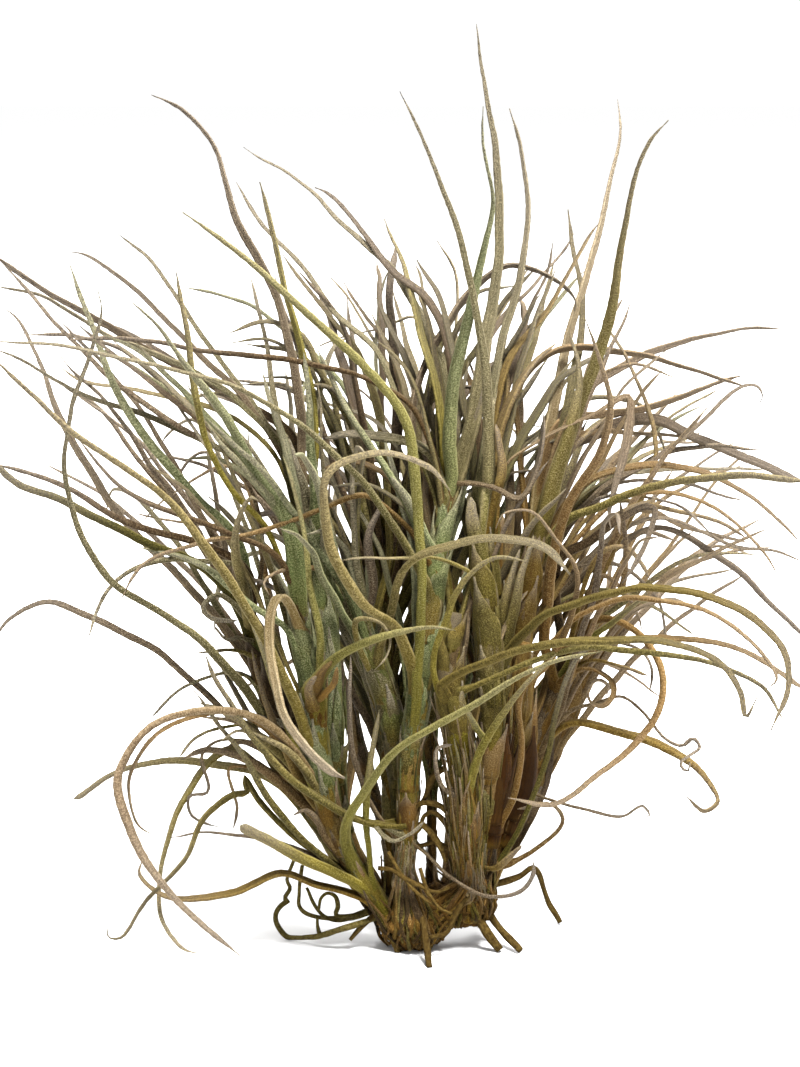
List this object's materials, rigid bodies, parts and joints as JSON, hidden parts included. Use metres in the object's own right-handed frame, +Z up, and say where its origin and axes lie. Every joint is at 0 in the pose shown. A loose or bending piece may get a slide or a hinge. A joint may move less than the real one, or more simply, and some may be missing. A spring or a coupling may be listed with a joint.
{
  "type": "ball moss",
  "caption": "Natural tuft of an air plant: long thin curling leaves with clasping sheaths on upright shoots, rising from a knotted crown with wiry roots.",
  "frame": {"origin": "middle of the flat face under the crown, where the tuft rests", "axes": "+Z up along the shoots, -Y to the front of the tuft, +X to its right"},
  "size_m": [0.1608, 0.1164, 0.1677],
  "materials": {
    "crown": "matt knotted rhizome with old sheath fibres",
    "root": "matt wiry root",
    "blade_sage": "matt blue-green leaf with a pale scaly bloom",
    "blade_silver": "matt grey-green leaf with a pale scaly bloom",
    "blade_yellow": "matt yellow-green leaf",
    "blade_olive": "matt olive leaf with a pale scaly bloom",
    "blade_cream": "matt pale dry leaf",
    "blade_tan": "matt tan leaf",
    "blade_mauve": "matt mauve-brown leaf with a pale scaly bloom",
    "blade_dark": "matt dark brown leaf",
    "blade_straw": "matt golden-brown leaf",
    "sheath_sage": "matt blue-green sheaths with a pale scaly bloom",
    "sheath_silver": "matt grey-green sheaths",
    "sheath_olive": "matt olive sheaths with streaks",
    "sheath_tan": "matt dry tan sheaths",
    "sheath_straw": "matt straw coloured fibrous sheaths",
    "sheath_mauve": "matt brown dry sheaths",
    "sheath_dark": "matt dark brown dry sheaths"
  },
  "bodies": {
    "root": {"crown": "crown", "leaf_back_left": "blade_mauve", "leaf_back_low_left": "blade_tan", "leaf_back_low_right": "blade_tan", "leaf_back_right": "blade_olive", "leaf_back_up": "blade_olive", "leaf_big_arch": "blade_silver", "leaf_blue_left": "blade_sage", "leaf_blunt": "blade_yellow", "leaf_cream_arch": "blade_cream", "leaf_dark_far_left": "blade_dark", "leaf_far_green": "blade_olive", "leaf_far_up_left": "blade_silver", "leaf_front_arch": "blade_yellow", "leaf_golden_droop": "blade_tan", "leaf_golden_low": "blade_straw", "leaf_golden_middle": "blade_yellow", "leaf_green_spire": "blade_silver", "leaf_grey_arch": "blade_silver", "leaf_grey_spire": "blade_silver", "leaf_hanging_right": "blade_dark", "leaf_kinked": "blade_mauve", "leaf_long_front": "blade_yellow", "leaf_long_speckled": "blade_silver", "leaf_low_front": "blade_yellow", "leaf_low_s": "blade_olive", "leaf_low_yellow": "blade_yellow", "leaf_olive_left": "blade_olive", "leaf_outer_left": "blade_mauve", "leaf_pale_high": "blade_tan", "leaf_pale_loop": "blade_cream", "leaf_pink_loop": "blade_mauve", "leaf_right_dark": "blade_dark", "leaf_right_green": "blade_olive", "leaf_right_long": "blade_dark", "leaf_right_olive": "blade_olive", "leaf_right_pink": "blade_tan", "leaf_spire": "blade_silver", "leaf_spire_left": "blade_sage", "leaf_tan_arch": "blade_tan", "leaf_tan_high": "blade_cream", "leaf_tan_hook": "blade_tan", "leaf_yellow_long": "blade_yellow", "leaf_yellow_up": "blade_yellow", "root_back": "root", "root_front": "root", "root_left_wire": "root", "root_right_wire": "root", "root_stub_far": "root", "root_stub_near": "root", "shoot_back": "sheath_dark", "shoot_back_right": "sheath_dark", "shoot_diagonal": "sheath_silver", "shoot_left": "sheath_sage", "shoot_mid_right": "sheath_straw", "shoot_middle": "sheath_sage", "shoot_outer_left": "sheath_olive", "shoot_outer_right": "sheath_mauve", "shoot_right": "sheath_tan", "shoot_speckled": "sheath_olive"}
  },
  "joints": []
}
